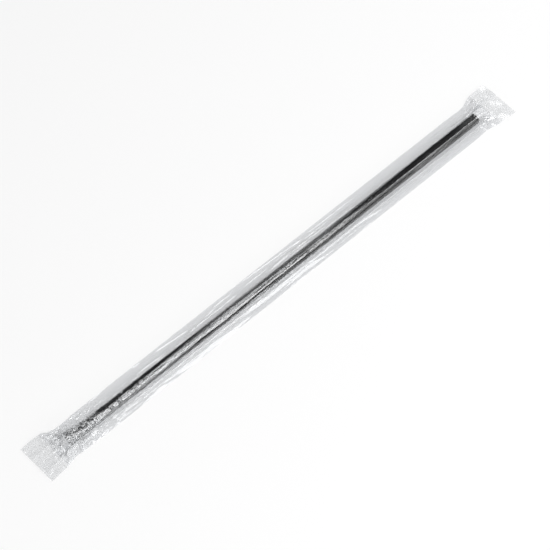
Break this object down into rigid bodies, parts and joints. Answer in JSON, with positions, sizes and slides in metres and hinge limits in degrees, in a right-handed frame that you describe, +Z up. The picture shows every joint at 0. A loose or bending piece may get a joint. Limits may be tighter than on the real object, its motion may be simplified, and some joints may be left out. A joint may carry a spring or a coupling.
{
  "type": "wrapped drinking straw",
  "caption": "Long straight black drinking straw sealed in a clear film sleeve with a ribbed lengthwise seal and flat square-cut end flaps.",
  "frame": {"origin": "middle of the sleeve's flat underside, half-way along its length and across its width", "axes": "+X along the straw, +Z up from the surface that the sleeve lies on, +Y across the sleeve"},
  "size_m": [0.296, 0.022, 0.0062],
  "materials": {
    "black_plastic": "smooth glossy black polypropylene tube",
    "clear_film": "thin clear crinkled packing film, glossy"
  },
  "bodies": {
    "root": {"straw": "black_plastic", "wrapper": "clear_film"}
  },
  "joints": []
}
